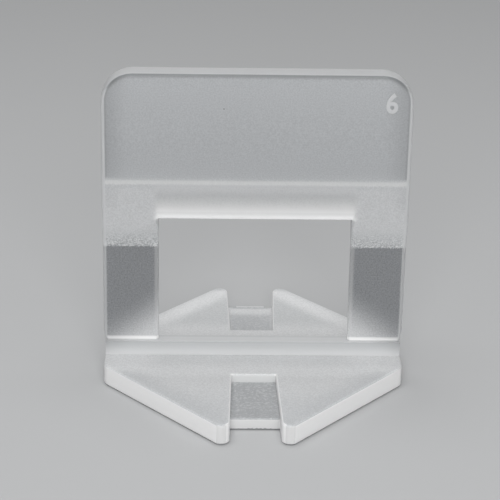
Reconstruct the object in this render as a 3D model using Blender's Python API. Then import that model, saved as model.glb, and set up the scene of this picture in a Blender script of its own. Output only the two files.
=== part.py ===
"""Tile levelling clip, moulded in one piece from natural polypropylene.

The edge of a tile rests on each half of the base, against the thin legs that stand in the joint
between the tiles. A wedge goes through the window, under the crossbar, and presses the tiles down
on the base. Once the mortar has set, the upright is snapped off at the feet of the legs.

X runs along the joint, Y across it, and Z up from the underside of the base.
"""
import math

import bmesh
import bpy
from mathutils import Matrix, Vector

MM = 0.001

# Base plate: a lozenge with straight sides and a forked end on either side of the joint
BASE_WIDTH = 49.6 * MM
BASE_DEPTH = 53.3 * MM
PLATE_THICKNESS = 3.5 * MM
SIDE_LENGTH = 11.0 * MM
PRONG_SPAN = 12.1 * MM
SIDE_CORNER_RADIUS = 2.5 * MM
PRONG_OUTER_RADIUS = 1.0 * MM
PRONG_INNER_RADIUS = 1.3 * MM
PLATE_EDGE_BREAK = 0.2 * MM

# Notch in each end, measured from the prong tips: open between the prongs, then a thin web
NOTCH_LENGTH = 17.95 * MM
NOTCH_OPEN_LENGTH = 5.15 * MM
WEB_THICKNESS = 2.0 * MM
NOTCH_WIDTH_AT_START = 7.3 * MM
NOTCH_WIDTH_AT_TIP = 8.3 * MM

# Break-off mark of the moulding gate, on the end of the back web
GATE_WIDTH = 4.9 * MM
GATE_LENGTH = 0.45 * MM
GATE_THICKNESS = 1.2 * MM

# Bar along the joint, which carries the upright and ends flush with the necks of its legs
BAR_HEIGHT = 2.4 * MM
BAR_FOOT_THICKNESS = 2.8 * MM
BAR_TOP_THICKNESS = 2.4 * MM

# Upright: two thin legs that narrow to a neck at the foot, a thick crossbar, and the grip panel
UPRIGHT_WIDTH = 50.0 * MM
WINDOW_WIDTH = 31.6 * MM
WINDOW_HEIGHT = 22.1 * MM
LEG_THICKNESS = 1.0 * MM
LEG_FOOT_FILLET = 0.5 * MM
NECK_HEIGHT = 2.1 * MM
NECK_INSET = 0.3 * MM
RAMP_HEIGHT = 5.2 * MM
CROSSBAR_HEIGHT = 6.2 * MM
CROSSBAR_LOWER_THICKNESS = 3.6 * MM
CROSSBAR_RIDGE_THICKNESS = 3.75 * MM
SHOULDER_HEIGHT = 0.8 * MM
PANEL_HEIGHT = 18.7 * MM
PANEL_LOWER_THICKNESS = 3.3 * MM
PANEL_TOP_THICKNESS = 4.0 * MM
TOP_CORNER_RADIUS = 5.1 * MM
UPRIGHT_EDGE_RADIUS = 0.4 * MM

# Lead-in chamfer along the crossbar, for the nose of the wedge
CHAMFER_HEIGHT = 1.35 * MM
CHAMFER_SIDE = 0.55 * MM
CHAMFER_DEPTH = 0.7 * MM

# How far a cutter reaches past the faces that it cuts
OVERSHOOT = 1.0 * MM

# Most of a leg's thickness that the rounding of one edge may take
ROUNDING_SHARE = 0.4

# Facets of the arcs
ARC_STEPS = 8
FILLET_STEPS = 4
EDGE_STEPS = 3

# Tests on edges: how much a face turns to an axis, from 0 for a face along it to 1 for one square to it
TURNED_AWAY = 0.01
STANDING = 0.1
SLIGHTLY_FACING = 0.15
LEVEL = 0.9

# Distances and angles that count as none, and the angle up to which faces are shaded as one surface
TINY = 0.01 * MM
WELD_DISTANCE = 0.001 * MM
FLAT_ANGLE = math.radians(0.05)
SMOOTH_ANGLE = math.radians(25)

# Heights and half widths that follow from the sizes above
BAR_TOP = PLATE_THICKNESS + BAR_HEIGHT
WINDOW_TOP = BAR_TOP + WINDOW_HEIGHT
RIDGE = WINDOW_TOP + CROSSBAR_HEIGHT
HEIGHT = RIDGE + PANEL_HEIGHT
TIP = BASE_DEPTH / 2
WEB_START = TIP - NOTCH_LENGTH
WEB_END = TIP - NOTCH_OPEN_LENGTH
UPRIGHT_ROOT = PLATE_THICKNESS / 2
NECK_WIDTH = UPRIGHT_WIDTH - 2 * NECK_INSET
EDGE_RADIUS = min(UPRIGHT_EDGE_RADIUS, LEG_THICKNESS * ROUNDING_SHARE)
THICKEST = max(BAR_FOOT_THICKNESS, CROSSBAR_RIDGE_THICKNESS, PANEL_TOP_THICKNESS)

# Planes that an upright outline lies in: square to the joint, as (y, z), or along it, as (x, z)
ACROSS_JOINT = Matrix(((0, 0, 1, 0), (1, 0, 0, 0), (0, 1, 0, 0), (0, 0, 0, 1)))
ALONG_JOINT = Matrix(((1, 0, 0, 0), (0, 0, -1, 0), (0, 1, 0, 0), (0, 0, 0, 1)))


def new_collection(name):
    """Make a collection under the scene's own."""
    collection = bpy.data.collections.new(name)
    bpy.context.scene.collection.children.link(collection)
    return collection


def rounded(corners, steps=ARC_STEPS):
    """Turn (x, y, radius) corners into outline points, with an arc at each corner that has a radius."""
    points = []
    for index, (x, y, radius) in enumerate(corners):
        corner = Vector((x, y))
        if not radius:
            points.append(corner)
            continue
        before = (Vector(corners[index - 1][:2]) - corner).normalized()
        after = (Vector(corners[(index + 1) % len(corners)][:2]) - corner).normalized()
        half_angle = before.angle(after) / 2
        centre = corner + (before + after).normalized() * (radius / math.sin(half_angle))
        start = corner + before * (radius / math.tan(half_angle)) - centre
        end = corner + after * (radius / math.tan(half_angle)) - centre
        sweep = end.angle_signed(start)
        for step in range(steps + 1):
            turned = Matrix.Rotation(sweep * step / steps, 2) @ start
            points.append(centre + turned)
    return points


def weld(mesh):
    """Merge points that lie on one another and faces that lie in one plane, and turn the faces out."""
    bm = bmesh.new()
    bm.from_mesh(mesh)
    bmesh.ops.remove_doubles(bm, verts=bm.verts, dist=WELD_DISTANCE)
    bmesh.ops.dissolve_limit(bm, angle_limit=FLAT_ANGLE, verts=bm.verts, edges=bm.edges)
    bmesh.ops.recalc_face_normals(bm, faces=bm.faces)
    bm.to_mesh(mesh)
    bm.free()


def extrude(name, points, thickness, place, collection):
    """Make a closed solid from a flat outline, centred on its plane."""
    curve = bpy.data.curves.new(name, "CURVE")
    curve.dimensions = "2D"
    curve.fill_mode = "BOTH"
    curve.extrude = thickness / 2
    spline = curve.splines.new("POLY")
    spline.points.add(len(points) - 1)
    for target, (x, y) in zip(spline.points, points):
        target.co = (x, y, 0, 1)
    spline.use_cyclic_u = True
    guide = bpy.data.objects.new(name + "_outline", curve)
    guide.matrix_world = place
    collection.objects.link(guide)
    bpy.context.view_layer.update()

    evaluated = guide.evaluated_get(bpy.context.evaluated_depsgraph_get())
    mesh = bpy.data.meshes.new_from_object(evaluated)
    mesh.name = name
    mesh.transform(place)
    weld(mesh)
    bpy.data.objects.remove(guide)
    bpy.data.curves.remove(curve)
    solid = bpy.data.objects.new(name, mesh)
    collection.objects.link(solid)
    return solid


def block(name, low, high, collection):
    """Make a box between two opposite corners."""
    bm = bmesh.new()
    bmesh.ops.create_cube(bm, size=2)
    for vert in bm.verts:
        vert.co = [high[axis] if vert.co[axis] > 0 else low[axis] for axis in range(3)]
    mesh = bpy.data.meshes.new(name)
    bm.to_mesh(mesh)
    bm.free()
    solid = bpy.data.objects.new(name, mesh)
    collection.objects.link(solid)
    return solid


def combine(body, tool, operation):
    """Join a tool to a body, or cut or intersect the body with it, and keep the result as a plain mesh."""
    tool.hide_render = True
    tool.display_type = "WIRE"
    modifier = body.modifiers.new(tool.name, "BOOLEAN")
    modifier.operation = operation
    modifier.solver = "EXACT"
    modifier.object = tool
    bpy.context.view_layer.update()
    evaluated = body.evaluated_get(bpy.context.evaluated_depsgraph_get())
    result = bpy.data.meshes.new_from_object(evaluated)
    body.modifiers.remove(modifier)
    before = body.data
    body.data = result
    bpy.data.meshes.remove(before)
    result.name = body.name
    weld(result)


def round_edges(body, wanted, radius, segments):
    """Round every convex edge that the wanted test accepts."""
    bm = bmesh.new()
    bm.from_mesh(body.data)
    edges = [edge for edge in bm.edges if len(edge.link_faces) == 2 and edge.is_convex and wanted(edge)]
    bmesh.ops.bevel(
        bm,
        geom=edges,
        offset=radius,
        offset_type="OFFSET",
        segments=segments,
        profile=0.5,
        affect="EDGES",
        clamp_overlap=False,
    )
    bm.to_mesh(body.data)
    bm.free()


def lean(edge, axis):
    """Say how far the two faces of an edge face along an axis, least first."""
    return sorted(abs(face.normal[axis]) for face in edge.link_faces)


def notch_half_width(y):
    """Half the width of the notch at a distance from the joint."""
    share = (abs(y) - WEB_START) / NOTCH_LENGTH
    return (NOTCH_WIDTH_AT_START + (NOTCH_WIDTH_AT_TIP - NOTCH_WIDTH_AT_START) * share) / 2


def notch_cutter(side, collection):
    """Notch in one end: down to the web near the joint, and right through beyond it."""
    beyond = TIP + OVERSHOOT
    above = PLATE_THICKNESS + OVERSHOOT
    profile = [
        (side * WEB_START, WEB_THICKNESS),
        (side * WEB_END, WEB_THICKNESS),
        (side * WEB_END, -OVERSHOOT),
        (side * beyond, -OVERSHOOT),
        (side * beyond, above),
        (side * WEB_START, above),
    ]
    end = "back" if side > 0 else "front"
    cutter = extrude(end + "_notch", profile, NOTCH_WIDTH_AT_TIP, ACROSS_JOINT, collection)
    for vert in cutter.data.vertices:
        vert.co.x = math.copysign(notch_half_width(vert.co.y), vert.co.x)
    return cutter


def base_plate(collection, tools):
    """Plate with straight sides, slanted flanks and a forked, notched end at the front and back."""
    corners = [
        (BASE_WIDTH / 2, -SIDE_LENGTH / 2, SIDE_CORNER_RADIUS),
        (BASE_WIDTH / 2, SIDE_LENGTH / 2, SIDE_CORNER_RADIUS),
        (PRONG_SPAN / 2, TIP, PRONG_OUTER_RADIUS),
        (-PRONG_SPAN / 2, TIP, PRONG_OUTER_RADIUS),
        (-BASE_WIDTH / 2, SIDE_LENGTH / 2, SIDE_CORNER_RADIUS),
        (-BASE_WIDTH / 2, -SIDE_LENGTH / 2, SIDE_CORNER_RADIUS),
        (-PRONG_SPAN / 2, -TIP, PRONG_OUTER_RADIUS),
        (PRONG_SPAN / 2, -TIP, PRONG_OUTER_RADIUS),
    ]
    middle = Matrix.Translation((0, 0, PLATE_THICKNESS / 2))
    plate = extrude("levelling_clip", rounded(corners), PLATE_THICKNESS, middle, collection)
    for side in (-1, 1):
        combine(plate, notch_cutter(side, tools), "DIFFERENCE")

    def inside_prong_tip(edge):
        """A standing edge where the notch meets the end of a prong."""
        standing = lean(edge, 2)[1] < STANDING
        at_tip = all(abs(vert.co.y) > TIP - TINY for vert in edge.verts)
        at_notch = all(abs(vert.co.x) < NOTCH_WIDTH_AT_TIP / 2 + TINY for vert in edge.verts)
        return standing and at_tip and at_notch

    def at_rim(edge):
        """An edge between a level face and a wall."""
        wall, level = lean(edge, 2)
        return level > LEVEL and wall < STANDING

    round_edges(plate, inside_prong_tip, PRONG_INNER_RADIUS, ARC_STEPS)
    round_edges(plate, at_rim, PLATE_EDGE_BREAK, 1)
    return plate


def upright_section():
    """Section of the bar and upright across the joint, as (y, z) points."""
    half = [
        (BAR_FOOT_THICKNESS / 2, UPRIGHT_ROOT),
        (BAR_FOOT_THICKNESS / 2, PLATE_THICKNESS),
        (BAR_TOP_THICKNESS / 2, BAR_TOP),
        (LEG_THICKNESS / 2, BAR_TOP),
        (LEG_THICKNESS / 2, WINDOW_TOP - RAMP_HEIGHT),
        (CROSSBAR_LOWER_THICKNESS / 2, WINDOW_TOP),
        (CROSSBAR_RIDGE_THICKNESS / 2, RIDGE),
        (PANEL_LOWER_THICKNESS / 2, RIDGE + SHOULDER_HEIGHT),
        (PANEL_TOP_THICKNESS / 2, HEIGHT),
    ]
    return half + [(-y, z) for y, z in reversed(half)]


def upright_front():
    """Outline of the bar and upright from the front, as (x, z) points."""
    half_neck = NECK_WIDTH / 2
    half = UPRIGHT_WIDTH / 2
    shoulder = BAR_TOP + NECK_HEIGHT
    corners = [
        (half_neck, UPRIGHT_ROOT - OVERSHOOT, 0),
        (half_neck, BAR_TOP, 0),
        (half, shoulder, 0),
        (half, HEIGHT, TOP_CORNER_RADIUS),
        (-half, HEIGHT, TOP_CORNER_RADIUS),
        (-half, shoulder, 0),
        (-half_neck, BAR_TOP, 0),
        (-half_neck, UPRIGHT_ROOT - OVERSHOOT, 0),
    ]
    return rounded(corners)


def foot_fillet(side, end, collection):
    """Concave strip that strengthens the foot of a leg, on the front or back and the left or right."""
    face = LEG_THICKNESS / 2
    points = []
    for step in range(FILLET_STEPS + 1):
        angle = math.radians(90) * step / FILLET_STEPS
        y = face + LEG_FOOT_FILLET * (1 - math.sin(angle))
        z = BAR_TOP + LEG_FOOT_FILLET * (1 - math.cos(angle))
        points.append((side * y, z))
    points.append((0, BAR_TOP + LEG_FOOT_FILLET))
    points.append((0, BAR_TOP - LEG_FOOT_FILLET))
    points.append((side * (face + LEG_FOOT_FILLET), BAR_TOP - LEG_FOOT_FILLET))
    inner = WINDOW_WIDTH / 2 + EDGE_RADIUS
    outer = NECK_WIDTH / 2 - EDGE_RADIUS
    place = Matrix.Translation((end * (inner + outer) / 2, 0, 0)) @ ACROSS_JOINT
    return extrude("foot_fillet", points, outer - inner, place, collection)


def chamfer_cutter(side, collection):
    """Lead-in on one face of the crossbar, tapering from the face to the window's own edge."""
    face = CROSSBAR_LOWER_THICKNESS / 2
    inner = face - CHAMFER_DEPTH - OVERSHOOT / 2
    outer = face + OVERSHOOT / 2
    end = "back" if side > 0 else "front"
    cutter = block(end + "_lead_in", (-1, -1, -1), (1, 1, 1), collection)
    for vert in cutter.data.vertices:
        depth = outer if vert.co.y * side > 0 else inner
        share = 1 + (depth - face) / CHAMFER_DEPTH
        half_width = WINDOW_WIDTH / 2 + CHAMFER_SIDE * share
        top = WINDOW_TOP + CHAMFER_HEIGHT * share
        bottom = WINDOW_TOP - RAMP_HEIGHT
        x = math.copysign(half_width, vert.co.x)
        z = top if vert.co.z > 0 else bottom
        vert.co = (x, side * depth, z)
    return cutter


def upright(tools):
    """Bar, legs, crossbar and grip panel, with the window between the legs."""
    body = extrude("upright", upright_section(), UPRIGHT_WIDTH + 2 * OVERSHOOT, ACROSS_JOINT, tools)
    outline = extrude("front_outline", upright_front(), THICKEST + 2 * OVERSHOOT, ALONG_JOINT, tools)
    combine(body, outline, "INTERSECT")
    reach = THICKEST / 2 + OVERSHOOT
    low = (-WINDOW_WIDTH / 2, -reach, BAR_TOP)
    high = (WINDOW_WIDTH / 2, reach, WINDOW_TOP)
    combine(body, block("window", low, high, tools), "DIFFERENCE")

    def on_leg_or_outer_edge(edge):
        """An edge of the front or back above the bar, but not the one that the wedge bears on."""
        side, front = lean(edge, 1)
        above_bar = any(vert.co.z > BAR_TOP + TINY for vert in edge.verts)
        over_window = all(abs(vert.co.x) < WINDOW_WIDTH / 2 + TINY for vert in edge.verts)
        at_crossbar = all(abs(vert.co.z - WINDOW_TOP) < TINY for vert in edge.verts)
        at_face = side < TURNED_AWAY and front > SLIGHTLY_FACING
        return at_face and above_bar and not (over_window and at_crossbar)

    round_edges(body, on_leg_or_outer_edge, EDGE_RADIUS, EDGE_STEPS)
    for end in (-1, 1):
        for side in (-1, 1):
            combine(body, foot_fillet(side, end, tools), "UNION")
    for side in (-1, 1):
        combine(body, chamfer_cutter(side, tools), "DIFFERENCE")
    return body


def gate_mark(tools):
    """Stub that is left where the runner was snapped off."""
    low = (-GATE_WIDTH / 2, WEB_END - OVERSHOOT, WEB_THICKNESS - GATE_THICKNESS)
    high = (GATE_WIDTH / 2, WEB_END + GATE_LENGTH, WEB_THICKNESS)
    return block("gate_mark", low, high, tools)


def polypropylene():
    """Natural, uncoloured polypropylene: milky and slightly glossy."""
    material = bpy.data.materials.new("natural_polypropylene")
    material.use_nodes = True
    shader = material.node_tree.nodes["Principled BSDF"]
    shader.inputs["Base Color"].default_value = (0.62, 0.63, 0.63, 1)
    shader.inputs["Roughness"].default_value = 0.4
    shader.inputs["Metallic"].default_value = 0.0
    shader.inputs["IOR"].default_value = 1.49
    return material


def main():
    """Build the clip as one closed body."""
    for old in list(bpy.data.objects):
        bpy.data.objects.remove(old)
    parts = new_collection("tile_levelling_clip")
    tools = new_collection("cutters")
    clip = base_plate(parts, tools)
    combine(clip, upright(tools), "UNION")
    combine(clip, gate_mark(tools), "UNION")
    clip.data.materials.clear()
    clip.data.materials.append(polypropylene())
    clip.data.shade_smooth()
    clip.data.set_sharp_from_angle(angle=SMOOTH_ANGLE)


if __name__ == "__main__":
    main()
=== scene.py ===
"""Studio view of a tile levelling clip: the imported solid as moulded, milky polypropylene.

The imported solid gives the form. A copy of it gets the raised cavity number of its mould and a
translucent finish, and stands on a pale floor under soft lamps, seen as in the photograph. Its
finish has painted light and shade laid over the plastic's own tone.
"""

import logging
import math
from dataclasses import dataclass, field
from enum import Enum
from typing import Any

import bpy
from mathutils import Matrix, Vector

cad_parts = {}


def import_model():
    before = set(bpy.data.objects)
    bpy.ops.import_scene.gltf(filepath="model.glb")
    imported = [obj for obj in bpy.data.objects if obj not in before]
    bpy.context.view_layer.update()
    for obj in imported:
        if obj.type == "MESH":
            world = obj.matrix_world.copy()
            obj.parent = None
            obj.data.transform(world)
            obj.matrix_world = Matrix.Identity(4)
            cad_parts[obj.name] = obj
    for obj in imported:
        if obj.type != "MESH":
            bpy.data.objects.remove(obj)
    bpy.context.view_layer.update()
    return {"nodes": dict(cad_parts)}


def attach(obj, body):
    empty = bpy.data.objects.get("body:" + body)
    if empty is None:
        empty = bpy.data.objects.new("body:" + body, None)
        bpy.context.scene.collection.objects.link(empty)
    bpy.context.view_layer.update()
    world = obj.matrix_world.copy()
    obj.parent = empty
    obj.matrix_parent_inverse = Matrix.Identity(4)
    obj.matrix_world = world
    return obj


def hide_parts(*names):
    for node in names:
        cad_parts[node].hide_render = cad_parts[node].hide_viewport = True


MM = 0.001
NODE = "levelling_clip"
WELD_DISTANCE = 0.001 * MM

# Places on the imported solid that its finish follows, in mm: heights from the floor up
WEB_TOP = 2.0
PLATE_TOP = 3.5
BAR_TOP = 5.9
RAMP_START = 22.8
WINDOW_TOP = 28.0
RIDGE = 34.2
PANEL_FOOT = 35.0
TOP = 52.9

# Half widths of the notches at their mouths, the window and the clip, distances of the two ends
# of the webs from the joint, and the radius of the panel's round corners, in mm
NOTCH_SIDE = 4.15
WINDOW_SIDE = 15.8
SIDE = 25.0
WEB_START = 8.7
WEB_END = 21.5
TOP_CORNER_RADIUS = 5.1

# The slanted flanks of the base: which way they face, and how far they are from the middle, in mm
FLANK_FACING = (0.7483, 0.6634, 0.0)
FLANK_REACH = 22.207

# Levels between which nearly all of a noise texture lies
NOISE_LOW = 0.3
NOISE_HIGH = 0.7

log = logging.getLogger("scene")

Source = bpy.types.Node | bpy.types.NodeSocket


def linear(hex_colour: str) -> tuple[float, float, float, float]:
    """Turn an sRGB hex colour into a linear RGBA colour.

    Args:
        hex_colour: Six hex digits, such as "C8CACB".

    Returns:
        The colour in linear light, with an alpha of 1.
    """
    def channel(start: int) -> float:
        """Read one channel and turn it linear, along the sRGB curve."""
        value = int(hex_colour[start:start + 2], 16) / 255
        return value / 12.92 if value <= 0.04045 else ((value + 0.055) / 1.055) ** 2.4

    return channel(0), channel(2), channel(4), 1.0


def add_node(tree: bpy.types.NodeTree, kind: str, settings: dict[str, Any] | None = None,
             links: dict[str, Source] | None = None) -> bpy.types.Node:
    """Add one shader node with its settings and its incoming links.

    Args:
        tree: The node tree that gets the node.
        kind: The node's class name, such as "ShaderNodeTexNoise".
        settings: Values by name, each an input's name or identifier or an attribute of the node.
            "stops" fills a colour ramp with (position, hex colour) pairs.
        links: What feeds each input, by its name or identifier: a socket, or a node for its
            first shown output.

    Returns:
        The new node.
    """
    node = tree.nodes.new(kind)

    def entry(name: str) -> bpy.types.NodeSocket | None:
        """Find an input by its name or identifier."""
        named = (socket for socket in node.inputs if name in (socket.identifier, socket.name))
        return next(named, None)

    for name, value in (settings or {}).items():
        socket = entry(name)
        if name == "stops":
            elements = node.color_ramp.elements
            while len(elements) < len(value):
                elements.new(1.0)
            for element, (position, colour) in zip(elements, value):
                element.position = position
                element.color = linear(colour)
        elif socket:
            socket.default_value = value
        else:
            setattr(node, name, value)
    for name, source in (links or {}).items():
        if isinstance(source, bpy.types.Node):
            source = next(socket for socket in source.outputs if socket.enabled)
        tree.links.new(source, entry(name))
    return node


def new_tree(name: str) -> tuple[bpy.types.Material, bpy.types.NodeTree, bpy.types.Node]:
    """Start an empty node material.

    Args:
        name: The material's name.

    Returns:
        The material, its node tree and its output node.
    """
    material = bpy.data.materials.new(name)
    material.use_nodes = True
    tree = material.node_tree
    tree.nodes.clear()
    return material, tree, add_node(tree, "ShaderNodeOutputMaterial")


class Along(Enum):
    """What the edge of a zone is measured along: in mm, or from 0 to 1 where it says so."""

    HEIGHT = "height over the floor"
    RAGGED_HEIGHT = "height over the floor, made uneven by the grain"
    # The light that this measure follows is painted light
    FOOT_SLANT = "height plus a share of the way across, which the light in the legs' feet follows"
    ACROSS = "distance from the middle to either side"
    DEPTH = "distance behind the joint, negative in front of it"
    FROM_JOINT = "distance from the joint, in front of it or behind it"
    FROM_OUTLINE = "distance inside the outline of the upright"
    FROM_FLANK = "distance inside a slanted flank of the base"
    FROM_SPECK = "distance from the speck of dirt in the panel"
    FACING_FRONT = "how much the surface faces the front or back, from 0 to 1"
    FACING_UP = "how much the surface faces up or down, from 0 to 1"
    RIPPLE = "level of the ripples, from 0 to 1"
    GRAIN = "level of the grain, from 0 to 1"


@dataclass(frozen=True)
class Fade:
    """One edge of a zone: where the zone has faded out and where it is full."""

    along: Along
    out: float
    full: float


@dataclass(frozen=True)
class Zone:
    """Part of the moulding that shows a tone of its own where all its fades are full; many zones
    are painted light and shade.
    """

    tone: str
    fades: tuple[Fade, ...]
    strength: float = 1.0


def band(along: Along, start: float, full: float, last: float, end: float) -> tuple[Fade, Fade]:
    """Give both edges of a zone that has two along one measure.

    Args:
        along: The measure.
        start: Where the zone begins to show.
        full: Where it becomes full.
        last: Where it is full for the last time.
        end: Where it has faded out again.

    Returns:
        The two edges.
    """
    return Fade(along, start, full), Fade(along, end, last)


# Edges that several zones share
ON_UPRIGHT = Fade(Along.HEIGHT, BAR_TOP - 0.05, BAR_TOP + 0.05)
ON_PANEL = Fade(Along.HEIGHT, PANEL_FOOT, PANEL_FOOT + 0.5)
ON_WEB = Fade(Along.HEIGHT, WEB_TOP + 0.3, WEB_TOP + 0.1)
ON_PLATE = Fade(Along.HEIGHT, PLATE_TOP + 0.1, PLATE_TOP)
OVER_PLATE = Fade(Along.HEIGHT, PLATE_TOP, PLATE_TOP + 0.1)
OVER_BAR = Fade(Along.HEIGHT, BAR_TOP - 0.1, BAR_TOP - 0.02)
UNDER_FEET = Fade(Along.HEIGHT, BAR_TOP + 0.1, BAR_TOP + 0.02)
OVER_LEGS = Fade(Along.RAGGED_HEIGHT, RAMP_START - 0.1, RAMP_START + 0.15)
IN_LEGS = Fade(Along.RAGGED_HEIGHT, RAMP_START + 0.15, RAMP_START - 0.1)
IN_THICK = Fade(Along.HEIGHT, RAMP_START - 0.2, RAMP_START + 0.2)
# Edge of the painted light in the legs' feet
PAINTED_FOOT_LIGHT = Fade(Along.FOOT_SLANT, 28.0, 18.5)
BEFORE_JOINT = Fade(Along.DEPTH, 1.0, -1.0)
BEHIND_JOINT = Fade(Along.DEPTH, 0.0, 1.0)
BY_NOTCH = Fade(Along.ACROSS, NOTCH_SIDE + 0.45, NOTCH_SIDE + 0.25)

# Parts of the moulding that take several edges to tell apart
LEGS = (ON_UPRIGHT, IN_LEGS)
BASE_TOP = (Fade(Along.HEIGHT, PLATE_TOP - 0.3, PLATE_TOP - 0.1), ON_PLATE)
BASE_WALLS = (ON_PLATE, Fade(Along.FACING_UP, 0.68, 0.5))
RIPPLED = (OVER_LEGS, Fade(Along.HEIGHT, 26.5, 23.0))
COARSELY_GRAINED = (OVER_LEGS, Fade(Along.HEIGHT, 26.0, 23.0))
OVER_WINDOW = (
    Fade(Along.HEIGHT, WINDOW_TOP - 0.05, WINDOW_TOP + 0.05),
    Fade(Along.HEIGHT, RIDGE + 0.1, RIDGE - 0.1),
    Fade(Along.ACROSS, WINDOW_SIDE + 1.2, WINDOW_SIDE - 0.1),
)

# What the grain of the eroded steel shows in and varies: tones, grain marks, painted light and
# painted shade, each laid over the ones before it
GRAINY_ZONES = (
    # Thin legs in painted shade, whose grain shows more, with painted light along their inner edges
    # and in their feet
    Zone("ABADB0", LEGS),
    Zone("FFFFFF", (*LEGS, Fade(Along.GRAIN, 0.5, 0.7)), 0.13),
    Zone("5A5C5E", (*LEGS, Fade(Along.GRAIN, 0.5, 0.3)), 0.3),
    Zone("CCCDCE", (*LEGS, Fade(Along.ACROSS, WINDOW_SIDE + 0.9, WINDOW_SIDE + 0.5))),
    Zone("D3D4D5", (*LEGS, PAINTED_FOOT_LIGHT)),
    # Painted shade at the outer ends of the shoulders, under the ridge
    Zone("B4B6B8", (*band(Along.HEIGHT, 29.5, 31.5, RIDGE - 0.8, RIDGE - 0.1),
                    Fade(Along.ACROSS, SIDE - 3.5, SIDE - 1.0)), 0.2),
    # Ripples and stronger grain where the legs begin to thicken
    Zone("FFFFFF", (*RIPPLED, Fade(Along.RIPPLE, 0.5, 0.68)), 0.3),
    Zone("9C9EA0", (*RIPPLED, Fade(Along.RIPPLE, 0.5, 0.32)), 0.35),
    Zone("FFFFFF", (*COARSELY_GRAINED, Fade(Along.GRAIN, 0.5, 0.66)), 0.5),
    Zone("808284", (*COARSELY_GRAINED, Fade(Along.GRAIN, 0.5, 0.34)), 0.4),
    # Panel, in painted shade toward its sides
    Zone("B8BABC", (ON_PANEL, Fade(Along.ACROSS, SIDE - 5.0, SIDE + 0.5))),
    # Mottled webs: the back one lighter with painted light, brightest at its end and sides, the
    # front one in painted shade toward its end
    Zone("BEC0C2", (ON_WEB, BEHIND_JOINT)),
    Zone("D8D9DA", (ON_WEB, Fade(Along.RIPPLE, 0.48, 0.68)), 0.45),
    Zone("E4E5E6", (ON_WEB, *band(Along.DEPTH, 17.0, 19.6, WEB_END - 1.1, WEB_END - 0.3)), 0.8),
    Zone("DADBDC", (ON_WEB, Fade(Along.DEPTH, WEB_END - 0.1, WEB_END + 0.1))),
    Zone("DADBDC", (ON_WEB, BEHIND_JOINT, Fade(Along.ACROSS, 3.0, 4.0)), 0.8),
    Zone("A6A8AA", (ON_WEB, Fade(Along.DEPTH, -16.0, -22.0)), 0.3),
    # Top of the base: painted shade before the bar, painted light before the notch, at the sides
    # and behind the bar
    Zone("CFD1D2", (*BASE_TOP, BEFORE_JOINT, Fade(Along.DEPTH, -5.5, -3.0),
                    Fade(Along.ACROSS, 18.0, 14.0)), 0.6),
    Zone("E8E9EA", (*BASE_TOP, *band(Along.DEPTH, -10.5, -8.5, -7.0, -4.5)), 0.5),
    Zone("E8E9EA", (*BASE_TOP, BEFORE_JOINT, Fade(Along.DEPTH, -8.5, -6.5),
                    Fade(Along.ACROSS, 14.0, 20.0)), 0.6),
    Zone("E4E5E6", (*BASE_TOP, *band(Along.DEPTH, 1.0, 3.0, 9.0, 13.0)), 0.7),
    # Top of the base: painted shade toward the front flanks and tips
    Zone("C6C8CA", (*BASE_TOP, Fade(Along.DEPTH, -6.5, -9.5),
                    Fade(Along.FROM_FLANK, 5.0, 1.0)), 0.55),
    Zone("C6C8CA", (*BASE_TOP, Fade(Along.DEPTH, -12.0, -22.0)), 0.6),
    # Top of the base: painted light along the back flanks, painted shade over its back part and at
    # the back tips
    Zone("D0D2D3", (*BASE_TOP, Fade(Along.DEPTH, 8.0, 14.0))),
    Zone("E8E9EA", (*BASE_TOP, Fade(Along.DEPTH, 2.0, 6.0),
                    *band(Along.FROM_FLANK, -0.6, 1.6, 2.5, 5.5))),
    Zone("BEC0C2", (*BASE_TOP, Fade(Along.DEPTH, 24.8, 26.2)), 0.6),
)
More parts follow.
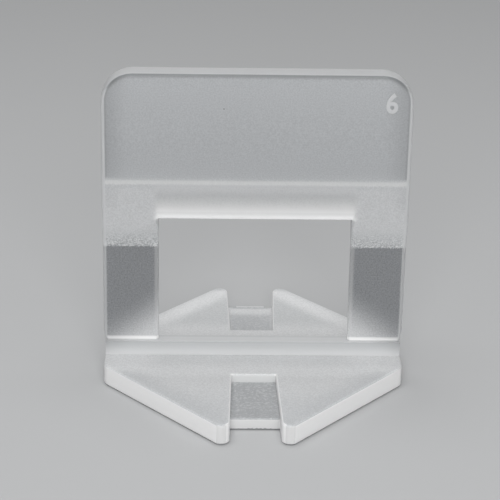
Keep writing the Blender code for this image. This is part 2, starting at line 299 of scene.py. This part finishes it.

# What looks smooth, mostly painted light and painted shade, each laid over the ones before it
SMOOTH_ZONES = (
    # Bar with its fillets, in painted light toward its foot, with painted shade along its top edges
    # and a painted highlight on the fillets of the legs' feet
    Zone("C8CACB", (OVER_PLATE, Fade(Along.HEIGHT, BAR_TOP + 0.4, BAR_TOP + 0.2))),
    Zone("E0E1E2", (OVER_PLATE, Fade(Along.HEIGHT, BAR_TOP - 0.2, PLATE_TOP))),
    Zone("CED0D1", (OVER_BAR, UNDER_FEET)),
    Zone("A8AAAC", (UNDER_FEET, Fade(Along.HEIGHT, BAR_TOP - 0.4, BAR_TOP - 0.15),
                    Fade(Along.DEPTH, -0.8, -1.0)), 0.3),
    Zone("A8AAAC", (UNDER_FEET, OVER_BAR, Fade(Along.DEPTH, 0.4, 0.8)), 0.6),
    Zone("FAFAFA", band(Along.HEIGHT, BAR_TOP + 0.05, BAR_TOP + 0.2, BAR_TOP + 0.5, BAR_TOP + 0.8)),
    # Faint grain over the upper half of the crossbar
    Zone("9C9EA0", (*band(Along.HEIGHT, 29.5, 31.5, RIDGE - 0.3, RIDGE),
                    Fade(Along.ACROSS, WINDOW_SIDE + 0.7, WINDOW_SIDE - 0.1),
                    Fade(Along.GRAIN, 0.55, 0.3)), 0.15),
    # Painted highlight, even along the ridge under the panel
    Zone("E9EAEA", band(Along.HEIGHT, RIDGE, RIDGE + 0.15, RIDGE + 0.4, PANEL_FOOT), 0.7),
    # Painted dark line and painted light strip along the outline, standing in for how the round
    # edge bends what is seen through it
    Zone("929496", (ON_PANEL, Fade(Along.FROM_OUTLINE, 1.0, 0.7)), 0.4),
    Zone("76787A", (Fade(Along.HEIGHT, TOP - 3.0, TOP - 1.2),
                    Fade(Along.FROM_OUTLINE, 1.4, 0.5)), 0.8),
    Zone("E0E1E2", (ON_UPRIGHT, Fade(Along.HEIGHT, TOP - 2.0, TOP - 3.0),
                    Fade(Along.FROM_OUTLINE, 0.7, 0.45))),
    Zone("D8DADB", (Fade(Along.HEIGHT, TOP - 3.0, TOP - 2.0), Fade(Along.FROM_OUTLINE, 0.6, 0.35))),
    # Narrow sides and top of the upright in painted light, with a painted highlight along the far
    # edge
    Zone("E4E5E6", (ON_UPRIGHT, Fade(Along.FACING_FRONT, 0.5, 0.3))),
    Zone("FFFFFF", (Fade(Along.HEIGHT, TOP - 0.5, TOP - 0.3), Fade(Along.DEPTH, 1.4, 1.8))),
    # Raised number in painted light, which stands before the panel round it, and the speck of dirt
    # in the panel
    Zone("ECEDEE", (ON_PANEL, Fade(Along.HEIGHT, 50.6, 50.3), Fade(Along.DEPTH, -1.97, -2.02))),
    Zone("5C5D5E", (Fade(Along.FROM_SPECK, 0.15, 0.07),), 0.8),
    # Walls of the base in painted light, standing in for how they look into its full depth, with
    # painted shade where they face the front and on the back wall of each notch
    Zone("FFFFFF", BASE_WALLS),
    Zone("E2E2E2", (*BASE_WALLS, Fade(Along.FACING_FRONT, 0.74, 0.86))),
    Zone("E4E5E5", (*BASE_WALLS, BY_NOTCH, Fade(Along.FROM_JOINT, WEB_START + 0.2, WEB_START))),
    # Painted highlight on the broken edges along the notches
    Zone("FFFFFF", (*BASE_TOP, *band(Along.ACROSS, 3.2, 3.6, NOTCH_SIDE + 0.45, NOTCH_SIDE + 0.85),
                    Fade(Along.FACING_UP, 0.97, 0.85)), 0.7),
    # Rough spots that the mould left along the lower edge of the front web
    Zone("9A9C9E", (Fade(Along.HEIGHT, 0.4, 0.2), Fade(Along.RIPPLE, 0.5, 0.55),
                    Fade(Along.ACROSS, 2.8, 2.4), Fade(Along.DEPTH, 0.2 - WEB_END, 0.1 - WEB_END))),
)


@dataclass(frozen=True)
class NaturalPolypropylene:
    """Injection-moulded polypropylene without pigment, off a spark-eroded mould.

    Its crystals scatter light inside the wall, so deep material looks milky and the thin legs let
    what is behind them through. The eroded steel leaves a fine matt grain. Over the plastic's own
    tone lie painted light and shade: a painted glow over the window, painted highlights and shade
    along edges, and tones that stand in for how light falls and spreads in the wall.
    """

    ior: float = 1.49
    roughness: float = 0.4

    # Scattering inside the wall: how far it spreads the light, and its share of the look
    scatter_mm: float = 1.0
    milkiness: float = 0.6

    # Shares of the light that the base, the thin legs and the panel let through
    base_clearness: float = 0.1
    leg_clearness: float = 0.78
    panel_clearness: float = 0.45

    # How far over the window the painted glow of the crossbar reaches
    painted_glow_mm: float = 5.0

    # Grain of the eroded steel, drawn about three times coarser than the real one so that it shows
    grain_mm: float = 0.24
    grain_detail: float = 2.0
    grain_depth_mm: float = 0.02
    bump_strength: float = 0.6
    speckle: float = 0.2

    # Ripples that the steel left where the legs thicken: along the clip, across it and up
    ripple_mm: tuple[float, float, float] = (0.5, 0.4, 0.24)
    ripple_detail: float = 1.0

    # How far the grain moves the edge where the legs begin to thicken
    raggedness_mm: float = 0.14

    # Where the speck of dirt sits in the panel
    speck_mm: tuple[float, float, float] = (-5.34, -1.89, 47.13)

    # How much lower the painted light in the feet of the legs lies with each mm toward the sides
    foot_slant: float = 0.7

    # How much higher the painted lines inside the outline lie along the top, which is seen from
    # above
    top_lift_mm: float = 0.5

    # Tone by height in mm, with painted light and shade such as the bright line along the ridge: of
    # the whole clip, and of the edge over the window with its painted glow
    tones_with_painted_light: tuple[tuple[float, str], ...] = (
        (1.9, "B2B4B6"), (2.2, "B2B4B6"), (3.0, "DADBDC"), (22.9, "D2D4D5"), (24.3, "D6D8D9"),
        (26.5, "DFE0E1"), (33.2, "DDDEDF"), (33.85, "D5D7D8"), (34.15, "DCDDDE"), (34.35, "EEEEEE"),
        (34.6, "EAEBEB"), (34.95, "D3D5D6"), (35.3, "CACCCE"), (36.5, "C8CACC"), (42.0, "C9CBCD"),
        (50.0, "CFD1D3"),
    )
    painted_glow_tones: tuple[tuple[float, str], ...] = (
        (28.0, "FFFFFF"), (28.3, "FFFFFF"), (28.65, "F4F4F4"), (29.0, "E6E6E6"), (29.3, "E0E0E0"),
        (29.45, "E8E8E8"), (30.4, "E0E0E0"), (31.2, "DADBDB"), (32.3, "D3D4D5"), (33.1, "DEDFE0"),
        (33.7, "DEDFE0"), (33.9, "DADBDC"), (34.2, "E0E1E2"),
    )
    grainy_zones: tuple[Zone, ...] = GRAINY_ZONES
    smooth_zones: tuple[Zone, ...] = SMOOTH_ZONES

    def material(self) -> bpy.types.Material:
        """Build the material.

        Returns:
            The material, which is the same whichever piece gets it.
        """
        material, tree, output = new_tree("moulded_natural_polypropylene")
        place = add_node(tree, "ShaderNodeTexCoord")
        in_mm = add_node(tree, "ShaderNodeVectorMath", {"operation": "SCALE", "Scale": 1 / MM},
                         {"Vector": place.outputs["Object"]})
        grain = add_node(tree, "ShaderNodeTexNoise", {
            "Scale": 1 / self.grain_mm,
            "Detail": self.grain_detail,
        }, {"Vector": in_mm})
        sources = self._sources(tree, in_mm, place.outputs["Normal"], grain)
        over_window = self._share(tree, sources, OVER_WINDOW)
        bump = add_node(tree, "ShaderNodeBump", {
            "Strength": self.bump_strength,
            "Distance": self.grain_depth_mm * MM,
        }, {"Height": grain})
        shader = add_node(tree, "ShaderNodeBsdfPrincipled", {
            "Roughness": self.roughness,
            "IOR": self.ior,
            "Subsurface Weight": self.milkiness,
            "Subsurface Radius": (1.0, 1.0, 1.0),
            "Subsurface Scale": self.scatter_mm * MM,
        }, {
            "Base Color": self._tone(tree, sources, grain, over_window),
            "Normal": bump,
            "Transmission Weight": self._clearness(tree, sources, over_window),
        })
        tree.links.new(shader.outputs["BSDF"], output.inputs["Surface"])
        return material

    def _sources(self, tree: bpy.types.NodeTree, in_mm: Source, normal: Source,
                 grain: Source) -> dict[Along, Source]:
        """Work out what the edges of the zones are measured along.

        Args:
            tree: The material's node tree.
            in_mm: The place on the clip, in mm.
            normal: Which way the surface faces.
            grain: The grain, which makes the top edge of the legs uneven.

        Returns:
            The source of each measure.
        """
        signed = add_node(tree, "ShaderNodeSeparateXYZ", links={"Vector": in_mm})
        mirrored = add_node(tree, "ShaderNodeVectorMath", {"operation": "ABSOLUTE"},
                            {"Vector": in_mm})
        axes = add_node(tree, "ShaderNodeSeparateXYZ", links={"Vector": mirrored})
        across, height = axes.outputs["X"], axes.outputs["Z"]
        unevenness = add_node(tree, "ShaderNodeMapRange", {
            "From Min": NOISE_LOW,
            "From Max": NOISE_HIGH,
            "To Min": -self.raggedness_mm,
            "To Max": self.raggedness_mm,
        }, {"Value": grain})
        ragged_height = add_node(tree, "ShaderNodeMath", {"operation": "ADD"},
                                 {"Value": height, "Value_001": unevenness})
        foot_slant = add_node(tree, "ShaderNodeMath", {
            "operation": "MULTIPLY_ADD",
            "Value_001": self.foot_slant,
        }, {"Value": across, "Value_002": height})

        # The outline is a rectangle with round corners, and so are the lines of equal distance
        front = add_node(tree, "ShaderNodeCombineXYZ", links={"X": across, "Y": height})
        centre = (SIDE - TOP_CORNER_RADIUS, TOP + self.top_lift_mm - TOP_CORNER_RADIUS, 0.0)
        past = add_node(tree, "ShaderNodeVectorMath", {
            "operation": "SUBTRACT",
            "Vector_001": centre,
        }, {"Vector": front})
        past = add_node(tree, "ShaderNodeVectorMath", {"operation": "MAXIMUM"}, {"Vector": past})
        past = add_node(tree, "ShaderNodeVectorMath", {"operation": "LENGTH"}, {"Vector": past})
        from_outline = add_node(tree, "ShaderNodeMath", {
            "operation": "SUBTRACT",
            "Value": TOP_CORNER_RADIUS,
        }, {"Value_001": past})

        outward = add_node(tree, "ShaderNodeVectorMath", {
            "operation": "DOT_PRODUCT",
            "Vector_001": FLANK_FACING,
        }, {"Vector": mirrored})
        from_flank = add_node(tree, "ShaderNodeMath", {
            "operation": "SUBTRACT",
            "Value": FLANK_REACH,
        }, {"Value_001": outward})
        from_speck = add_node(tree, "ShaderNodeVectorMath", {
            "operation": "DISTANCE",
            "Vector_001": self.speck_mm,
        }, {"Vector": in_mm})

        stretched = add_node(tree, "ShaderNodeVectorMath", {
            "operation": "DIVIDE",
            "Vector_001": self.ripple_mm,
        }, {"Vector": in_mm})
        ripple = add_node(tree, "ShaderNodeTexNoise", {
            "Scale": 1.0,
            "Detail": self.ripple_detail,
        }, {"Vector": stretched})
        faced = add_node(tree, "ShaderNodeVectorMath", {"operation": "ABSOLUTE"},
                         {"Vector": normal})
        facing = add_node(tree, "ShaderNodeSeparateXYZ", links={"Vector": faced})
        return {
            Along.HEIGHT: height,
            Along.RAGGED_HEIGHT: ragged_height,
            Along.FOOT_SLANT: foot_slant,
            Along.ACROSS: across,
            Along.DEPTH: signed.outputs["Y"],
            Along.FROM_JOINT: axes.outputs["Y"],
            Along.FROM_OUTLINE: from_outline,
            Along.FROM_FLANK: from_flank,
            Along.FROM_SPECK: from_speck,
            Along.FACING_FRONT: facing.outputs["Y"],
            Along.FACING_UP: facing.outputs["Z"],
            Along.RIPPLE: ripple,
            Along.GRAIN: grain,
        }

    def _share(self, tree: bpy.types.NodeTree, sources: dict[Along, Source],
               fades: tuple[Fade, ...], strength: float = 1.0) -> Source:
        """Work out how full a set of fades is.

        Args:
            tree: The material's node tree.
            sources: The source of each measure.
            fades: The fades, whose shares are multiplied.
            strength: The share where all are full.

        Returns:
            The share at each place.
        """
        share = None
        for fade in fades:
            links = {"Value": sources[fade.along]}
            if share is not None:
                links["To Max"] = share
            share = add_node(tree, "ShaderNodeMapRange", {
                "interpolation_type": "SMOOTHSTEP",
                "From Min": fade.out,
                "From Max": fade.full,
                "To Max": strength,
            }, links)
        return share

    def _lay_zones(self, tree: bpy.types.NodeTree, sources: dict[Along, Source], tone: Source,
                   zones: tuple[Zone, ...]) -> Source:
        """Lay zones over a tone, one after another.

        Args:
            tree: The material's node tree.
            sources: The source of each measure.
            tone: The tone under the zones.
            zones: The zones, the topmost last.

        Returns:
            The tone with the zones over it.
        """
        for zone in zones:
            share = self._share(tree, sources, zone.fades, zone.strength)
            tone = add_node(tree, "ShaderNodeMix", {
                "data_type": "RGBA",
                "B_Color": linear(zone.tone),
            }, {"Factor_Float": share, "A_Color": tone})
        return tone

    def _tone(self, tree: bpy.types.NodeTree, sources: dict[Along, Source], grain: Source,
              over_window: Source) -> Source:
        """Lay the zones and the painted window glow over the tone that follows the height.

        Args:
            tree: The material's node tree.
            sources: The source of each measure.
            grain: The grain, which varies the tone of all but the smooth zones.
            over_window: Where the crossbar is over the window.

        Returns:
            The tone at each place.
        """
        up = add_node(tree, "ShaderNodeMath", {
            "operation": "DIVIDE",
            "Value_001": TOP,
        }, {"Value": sources[Along.HEIGHT]})
        tone, painted_glow_tone = (
            add_node(tree, "ShaderNodeValToRGB", {
                "stops": [(height / TOP, colour) for height, colour in tones_with_painted_light],
            }, {"Fac": up})
            for tones_with_painted_light in (self.tones_with_painted_light, self.painted_glow_tones)
        )
        swing = add_node(tree, "ShaderNodeMapRange", {
            "From Min": NOISE_LOW,
            "From Max": NOISE_HIGH,
            "To Min": 1 - self.speckle / 2,
            "To Max": 1 + self.speckle / 2,
        }, {"Value": grain})
        tone = self._lay_zones(tree, sources, tone, self.grainy_zones)
        tone = add_node(tree, "ShaderNodeVectorMath", {"operation": "SCALE"},
                        {"Vector": tone, "Scale": swing})
        # Painted glow along the crossbar's edge over the window
        tone = add_node(tree, "ShaderNodeMix", {"data_type": "RGBA"},
                        {"Factor_Float": over_window, "A_Color": tone, "B_Color": painted_glow_tone})
        return self._lay_zones(tree, sources, tone, self.smooth_zones)

    def _clearness(self, tree: bpy.types.NodeTree, sources: dict[Along, Source],
                   over_window: Source) -> Source:
        """Work out the share of the light that the wall lets through unscattered.

        Args:
            tree: The material's node tree.
            sources: The source of each measure.
            over_window: Where the crossbar is over the window, whose edge carries a painted
            glow and lets none through.

        Returns:
            The share at each place: most in the thin legs, least in the base.
        """
        clearness = add_node(tree, "ShaderNodeMapRange", {
            "interpolation_type": "SMOOTHSTEP",
            "From Min": PAINTED_FOOT_LIGHT.out,
            "From Max": PAINTED_FOOT_LIGHT.full,
            "To Min": self.leg_clearness,
            "To Max": self.base_clearness,
        }, {"Value": sources[PAINTED_FOOT_LIGHT.along]})
        thick = self._share(tree, sources, (IN_THICK,))
        # Where the painted glow lies over the window, nothing is let through
        painted_glow_share = add_node(tree, "ShaderNodeMapRange", {
            "interpolation_type": "SMOOTHSTEP",
            "From Min": WINDOW_TOP + self.painted_glow_mm,
            "From Max": WINDOW_TOP,
        }, {"Value": sources[Along.HEIGHT], "To Max": over_window})
        for share, goal in ((thick, self.panel_clearness), (painted_glow_share, 0.0)):
            clearness = add_node(tree, "ShaderNodeMix", {"B_Float": goal},
                                 {"Factor_Float": share, "A_Float": clearness})
        return clearness


@dataclass(frozen=True)
class PaintedBoard:
    """Matt painted board under and behind the clip: plain, so that it only carries the shadow."""

    colour: str = "BBBCBD"
    roughness: float = 0.9

    def material(self) -> bpy.types.Material:
        """Build the material.

        Returns:
            The material.
        """
        material, tree, output = new_tree("matt_painted_board")
        shader = add_node(tree, "ShaderNodeBsdfPrincipled", {
            "Base Color": linear(self.colour),
            "Roughness": self.roughness,
        })
        tree.links.new(shader.outputs["BSDF"], output.inputs["Surface"])
        return material


def deselect_all() -> None:
    """Go to object mode and select nothing."""
    if bpy.context.mode != "OBJECT":
        bpy.ops.object.mode_set(mode="OBJECT")
    bpy.ops.object.select_all(action="DESELECT")


def activate(piece: bpy.types.Object) -> None:
    """Select one object alone and make it active.

    Args:
        piece: The object.
    """
    deselect_all()
    piece.select_set(True)
    bpy.context.view_layer.objects.active = piece


@dataclass
class CavityNumber:
    """Plain raised digit that says which cavity of the mould the clip came from."""

    digit: str = "6"

    # Its middle on the panel, across and up, and its height
    middle: tuple[float, float] = (21.45 * MM, 48.15 * MM)
    height: float = 3.1 * MM

    # The height of the font's digits as a share of its size, this one's width as a share of
    # theirs, and how far its strokes are swelled to each side
    height_share_of_size: float = 0.7
    width_share: float = 0.9
    stroke_swell: float = 0.13 * MM

    # How far it stands out of the panel and reaches into it, and how far the panel's face at the
    # number is from the middle of the joint
    proud: float = 0.16 * MM
    sunk: float = 0.5 * MM
    face: float = 1.93 * MM

    curve_steps: int = 6

    def build(self) -> bpy.types.Object:
        """Model the digit as a closed solid that reaches into the panel.

        Returns:
            The digit, standing in the front of the panel.
        """
        deselect_all()
        bpy.ops.object.text_add(location=(0, 0, 0))
        number = bpy.context.object
        number.name = "cavity_number"
        number.data.body = self.digit
        number.data.align_x = "CENTER"
        number.data.align_y = "CENTER"
        number.data.size = self.height / self.height_share_of_size
        number.data.extrude = (self.proud + self.sunk) / 2
        number.data.offset = self.stroke_swell
        number.data.resolution_u = self.curve_steps
        activate(number)
        bpy.ops.object.convert(target="MESH")
        across, up = self.middle
        number.data.transform(
            Matrix.Translation((across, (self.sunk - self.proud) / 2 - self.face, up))
            @ Matrix.Rotation(math.radians(90), 4, "X")
            @ Matrix.Diagonal((self.width_share, 1, 1, 1))
        )
        bpy.ops.object.mode_set(mode="EDIT")
        bpy.ops.mesh.select_all(action="SELECT")
        bpy.ops.mesh.remove_doubles(threshold=WELD_DISTANCE)
        bpy.ops.mesh.normals_make_consistent(inside=False)
        bpy.ops.object.mode_set(mode="OBJECT")
        return number


@dataclass
class ClipMoulding:
    """The clip's single moulding, with what the mould leaves on it."""

    solid: bpy.types.Object
    number: CavityNumber = field(default_factory=CavityNumber)
    finish: NaturalPolypropylene = field(default_factory=NaturalPolypropylene)

    # Angles up to which neighbouring faces become one, and up to which the edge between them is
    # shaded smooth
    flat_angle: float = math.radians(0.1)
    smooth_angle: float = math.radians(35)

    # How much large faces count for the normals, out of 100, where 50 is neutral
    flat_face_weight: int = 100

    def build(self) -> bpy.types.Object:
        """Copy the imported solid, close it and dress it.

        Returns:
            The finished piece, riding on the root and standing for the CAD node.
        """
        piece = self.solid.copy()
        piece.data = self.solid.data.copy()
        piece.name = "clip_moulding"
        bpy.context.scene.collection.objects.link(piece)
        activate(piece)
        bpy.ops.object.mode_set(mode="EDIT")
        bpy.ops.mesh.select_all(action="SELECT")
        bpy.ops.mesh.remove_doubles(threshold=WELD_DISTANCE)
        bpy.ops.mesh.dissolve_limited(angle_limit=self.flat_angle)
        bpy.ops.object.mode_set(mode="OBJECT")
        self._join_number(piece)
        self._shade(piece)
        piece.data.materials.clear()
        piece.data.materials.append(self.finish.material())
        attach(piece, "root")
        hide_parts(NODE)
        return piece

    def _join_number(self, piece: bpy.types.Object) -> None:
        """Make the raised number one body with the panel, so that no face is left inside.

        Args:
            piece: The moulding that gets the number.
        """
        number = self.number.build()
        activate(piece)
        joint = piece.modifiers.new("cavity_number", "BOOLEAN")
        joint.operation = "UNION"
        joint.solver = "EXACT"
        joint.use_self = True
        joint.object = number
        bpy.ops.object.modifier_apply(modifier=joint.name)
        bpy.data.objects.remove(number)

    def _shade(self, piece: bpy.types.Object) -> None:
        """Shade the rounded edges smooth while the large faces stay flat.

        Args:
            piece: The moulding, which is active.
        """
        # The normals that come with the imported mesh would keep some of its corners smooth
        bpy.ops.mesh.customdata_custom_splitnormals_clear()
        bpy.ops.object.shade_smooth_by_angle(angle=self.smooth_angle)
        flat_faces = piece.modifiers.new("flat_faces", "WEIGHTED_NORMAL")
        flat_faces.keep_sharp = True
        flat_faces.weight = self.flat_face_weight
        bpy.ops.object.modifier_apply(modifier=flat_faces.name)


@dataclass(frozen=True)
class Softbox:
    """Square soft lamp that faces the clip."""

    name: str
    place: tuple[float, float, float]
    side: float
    watts: float
    aim: tuple[float, float, float] = (0.0, 0.0, 20 * MM)

    def hang(self) -> None:
        """Hang the lamp in its place."""
        data = bpy.data.lights.new(self.name, "AREA")
        data.shape = "SQUARE"
        data.size = self.side
        data.energy = self.watts
        lamp = bpy.data.objects.new(self.name, data)
        lamp.location = self.place
        lamp.rotation_euler = (Vector(self.aim) - lamp.location).to_track_quat("-Z", "Y").to_euler()
        bpy.context.scene.collection.objects.link(lamp)


@dataclass(frozen=True)
class PhotoCamera:
    """Camera that stands where the photograph was taken from."""

    # Width of the photograph and focal length of its camera, both in its pixels
    photo_px: float = 500
    focal_px: float = 1952.57
    sensor_mm: float = 36

    # Distance and direction from the point that it looks at, and its roll
    distance: float = 322.45 * MM
    elevation: float = math.radians(22.6)
    azimuth: float = math.radians(1.49)
    roll: float = math.radians(1.03)
    target: tuple[float, float, float] = (-0.75 * MM, 0.0, 22.06 * MM)
    clip_start: float = 10 * MM

    def stand(self) -> None:
        """Set the camera up and make it the scene's own."""
        data = bpy.data.cameras.new("camera")
        data.sensor_width = self.sensor_mm
        data.lens = self.focal_px / self.photo_px * self.sensor_mm
        data.clip_start = self.clip_start
        camera = bpy.data.objects.new("camera", data)
        tilt = math.radians(90) - self.elevation
        turn = Matrix.Rotation(-self.azimuth, 3, "Z") @ Matrix.Rotation(tilt, 3, "X")
        camera.location = Vector(self.target) + turn @ Vector((0, 0, self.distance))
        camera.rotation_euler = (turn @ Matrix.Rotation(self.roll, 3, "Z")).to_euler()
        bpy.context.scene.collection.objects.link(camera)
        bpy.context.scene.camera = camera


@dataclass
class Studio:
    """Pale floor, soft lamps, even room light and the camera."""

    # The floor lies a little under the clip, so that no two faces share a place
    floor_side: float = 3000 * MM
    floor_drop: float = 0.05 * MM

    room_light: float = 0.38
    softboxes: tuple[Softbox, ...] = (
        Softbox("overhead_softbox", (-30 * MM, 20 * MM, 400 * MM), 260 * MM, 0.72),
        Softbox("front_softbox", (5 * MM, -430 * MM, 170 * MM), 260 * MM, 1.15),
    )
    camera: PhotoCamera = PhotoCamera()

    def build(self) -> None:
        """Lay the floor, light it and set the camera."""
        self._lay_floor()
        for softbox in self.softboxes:
            softbox.hang()
        self._fill_room()
        self.camera.stand()

    def _lay_floor(self) -> None:
        """Lay the board that the clip stands on."""
        deselect_all()
        bpy.ops.mesh.primitive_plane_add(size=self.floor_side, location=(0, 0, -self.floor_drop))
        floor = bpy.context.object
        floor.name = "floor"
        floor.data.materials.append(PaintedBoard().material())

    def _fill_room(self) -> None:
        """Fill the room with even white light."""
        world = bpy.data.worlds.new("studio")
        world.use_nodes = True
        background = world.node_tree.nodes["Background"]
        background.inputs["Color"].default_value = linear("FFFFFF")
        background.inputs["Strength"].default_value = self.room_light
        bpy.context.scene.world = world


def main() -> None:
    """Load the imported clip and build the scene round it."""
    logging.basicConfig(level=logging.INFO, format="%(name)s: %(message)s")
    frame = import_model()
    bpy.context.scene.view_settings.view_transform = "Standard"
    piece = ClipMoulding(frame["nodes"][NODE]).build()
    log.info("built %s with %d faces", piece.name, len(piece.data.polygons))
    Studio().build()
    log.info("built the studio")


if __name__ == "__main__":
    main()
